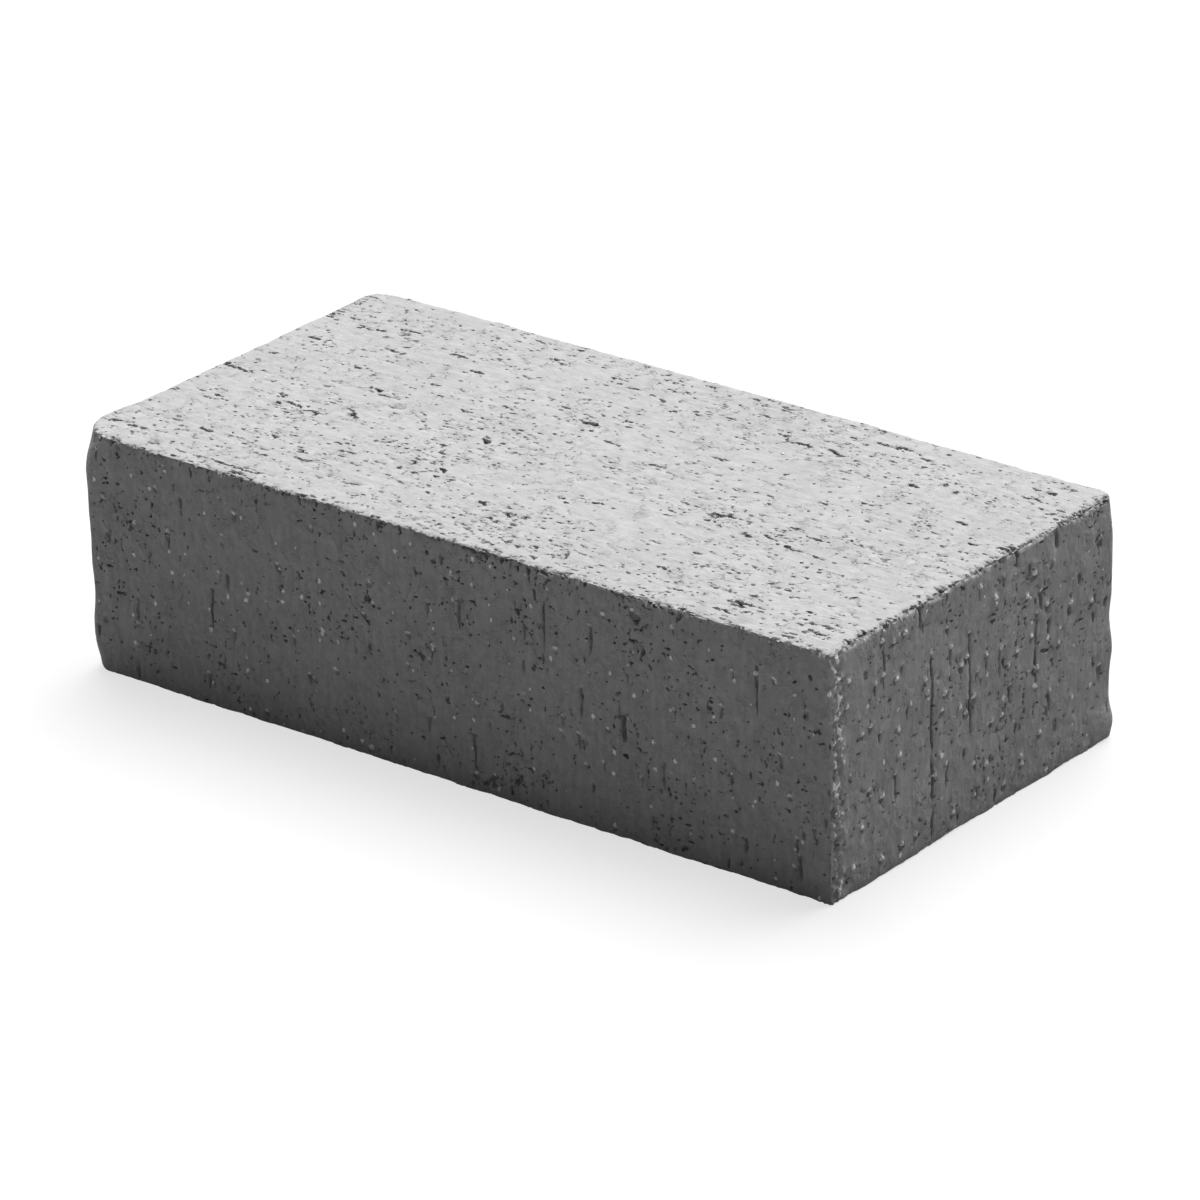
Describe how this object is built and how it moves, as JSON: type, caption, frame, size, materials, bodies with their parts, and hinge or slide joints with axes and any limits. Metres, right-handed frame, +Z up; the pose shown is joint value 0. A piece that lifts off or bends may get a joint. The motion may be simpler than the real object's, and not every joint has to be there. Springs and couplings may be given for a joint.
{
  "type": "refractory firebrick",
  "caption": "Solid rectangular fireclay brick with rounded upright corners and flat bed faces, laid in courses to line a hearth, stove, oven or kiln.",
  "frame": {"origin": "middle of the lower bed face", "axes": "+X along the brick's length, +Y across its width, +Z up through its height"},
  "size_m": [0.23, 0.115, 0.064],
  "materials": {
    "fireclay": "matt grey fired clay, with torn pits on the wire-cut bed faces and fine drag lines down the sides"
  },
  "bodies": {
    "root": {"firebrick": "fireclay"}
  },
  "joints": []
}
